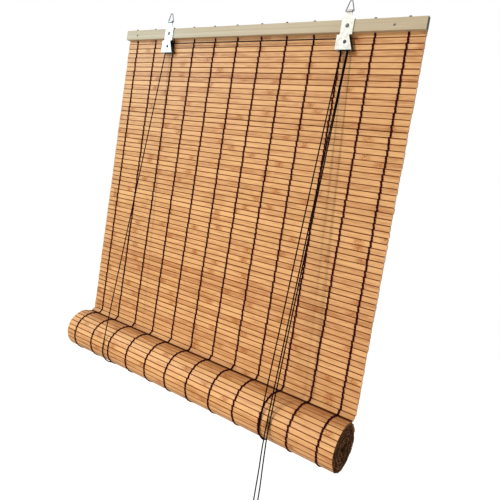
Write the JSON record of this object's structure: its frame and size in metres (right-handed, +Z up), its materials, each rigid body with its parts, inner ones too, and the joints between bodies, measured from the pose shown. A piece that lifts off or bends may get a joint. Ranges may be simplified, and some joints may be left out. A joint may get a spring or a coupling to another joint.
{
  "type": "bamboo roll-up blind",
  "caption": "Window blind of woven bamboo slats in a wooden head rail, half rolled up in two cord slings that run over pulley brackets, with wire loops to hang it.",
  "frame": {"origin": "midway between the hook seats of the two hanging loops", "axes": "+X along the head rail to the right seen from the room, -Y towards the room, +Z up"},
  "size_m": [0.602, 0.0778, 0.8275],
  "materials": {
    "bamboo": "bare split bamboo, satin",
    "thread": "twisted cotton",
    "pale_wood": "planed softwood, bare",
    "steel": "zinc plated",
    "pulley": "moulded",
    "cord": "braided cord"
  },
  "bodies": {
    "blind": {"front_batten": "pale_wood", "rear_batten": "pale_wood", "rail_nails": "steel", "hanging_slats": "bamboo", "rolled_slats": "bamboo", "warp_thread_01": "thread", "warp_thread_02": "thread", "warp_thread_03": "thread", "warp_thread_04": "thread", "warp_thread_05": "thread", "warp_thread_06": "thread", "warp_thread_07": "thread", "warp_thread_08": "thread", "warp_thread_09": "thread", "warp_thread_10": "thread", "warp_thread_11": "thread", "warp_thread_12": "thread", "left_bracket": "steel", "left_bracket_screw": "steel", "left_rivet": "steel", "left_cord": "cord", "left_cord_hank": "cord", "right_bracket": "steel", "right_bracket_screw": "steel", "right_rivet": "steel", "right_cord": "cord", "right_cord_hank": "cord"},
    "left_pulley": {"left_pulley": "pulley"},
    "left_loop": {"left_loop": "steel"},
    "right_pulley": {"right_pulley": "pulley"},
    "right_loop": {"right_loop": "steel"}
  },
  "joints": [
    {"name": "left_pulley_spin", "type": "hinge", "parent": "blind", "child": "left_pulley", "pos_m": [-0.183, 0.0036, -0.0585], "axis": [0, 1, 0], "continuous": true},
    {"name": "left_loop_swing", "type": "hinge", "parent": "blind", "child": "left_loop", "pos_m": [-0.183, 0, -0.014], "axis": [1, 0, 0], "range_deg": [-110, 140]},
    {"name": "right_pulley_spin", "type": "hinge", "parent": "blind", "child": "right_pulley", "pos_m": [0.183, 0.0036, -0.0585], "axis": [0, 1, 0], "continuous": true},
    {"name": "right_loop_swing", "type": "hinge", "parent": "blind", "child": "right_loop", "pos_m": [0.183, 0, -0.014], "axis": [1, 0, 0], "range_deg": [-110, 140]}
  ]
}
